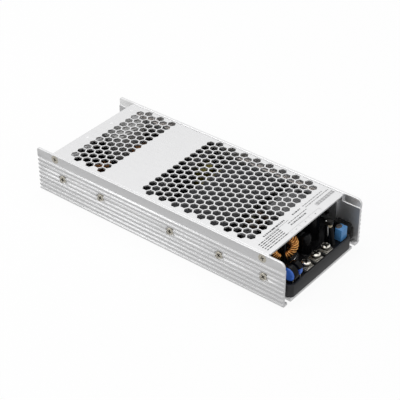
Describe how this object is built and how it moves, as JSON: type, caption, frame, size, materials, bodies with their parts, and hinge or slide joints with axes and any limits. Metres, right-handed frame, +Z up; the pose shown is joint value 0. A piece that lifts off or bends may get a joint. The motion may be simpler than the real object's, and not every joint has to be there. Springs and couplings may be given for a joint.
{
  "type": "enclosed dc-dc converter",
  "caption": "Low enclosed power converter: a ribbed aluminium channel with a perforated cover over potted electronics, with screw terminals at both open ends.",
  "frame": {"origin": "middle of the underside of the case", "axes": "+X along the case towards the input end, +Y across the case, +Z up through the cover"},
  "size_m": [0.186, 0.078, 0.031],
  "materials": {
    "bar_aluminium": "plain",
    "black_sealant": "glossy",
    "black_sleeve": "semi-matt",
    "board_laminate": "green lacquer",
    "box_blue": "moulded box",
    "can_sleeve": "shrink sleeve",
    "case_aluminium": "satin extruded",
    "copper_wire": "enamelled",
    "cover_aluminium": "matt sheet",
    "disc_blue": "epoxy dip",
    "ferrite": "matt",
    "film_box": "moulded box",
    "fuse_body": "moulded",
    "grey_pad": "matt",
    "potting_resin": "cast, slightly glossy",
    "powder_core": "lacquered",
    "screw_steel": "zinc plated",
    "terminal_metal": "nickel plated",
    "terminal_plastic": "moulded",
    "transistor_plastic": "moulded",
    "tray_plastic": "fine texture",
    "winding_tape": "film tape"
  },
  "bodies": {
    "root": {"bar_far_input": "bar_aluminium", "bar_far_output": "bar_aluminium", "bar_near_input": "bar_aluminium", "bar_near_output": "bar_aluminium", "box_capacitor": "box_blue", "case_extrusion": "case_aluminium", "choke_cores": "powder_core", "choke_dividers": "terminal_plastic", "choke_windings": "copper_wire", "circuit_board": "board_laminate", "cover_screws": "screw_steel", "disc_sleeves": "black_sleeve", "fuse_sleeves": "black_sleeve", "input_capacitors": "can_sleeve", "input_film_capacitor": "film_box", "input_square_washers": "terminal_metal", "input_terminal_bases": "terminal_plastic", "input_terminal_plates": "terminal_metal", "input_terminal_screws": "terminal_metal", "output_capacitors": "can_sleeve", "output_film_capacitor": "film_box", "output_inductor_cores": "powder_core", "output_inductor_windings": "copper_wire", "output_square_washers": "terminal_metal", "output_terminal_bases": "terminal_plastic", "output_terminal_plates": "terminal_metal", "output_terminal_screws": "terminal_metal", "potting_compound": "potting_resin", "potting_tray": "tray_plastic", "resonant_inductor_core_far": "ferrite", "resonant_inductor_core_near": "ferrite", "resonant_inductor_winding_far": "winding_tape", "resonant_inductor_winding_near": "winding_tape", "silicone_bead": "black_sealant", "sleeved_coil": "black_sleeve", "standing_fuse": "fuse_body", "suppressor_discs": "disc_blue", "top_cover": "cover_aluminium", "transformer_core": "ferrite", "transformer_winding": "winding_tape", "transistor_pads_far_input": "grey_pad", "transistor_pads_far_output": "grey_pad", "transistor_pads_near_input": "grey_pad", "transistor_pads_near_output": "grey_pad", "transistors_far_input": "transistor_plastic", "transistors_far_output": "transistor_plastic", "transistors_near_input": "transistor_plastic", "transistors_near_output": "transistor_plastic", "wall_screws_far": "screw_steel", "wall_screws_near": "screw_steel"}
  },
  "joints": []
}
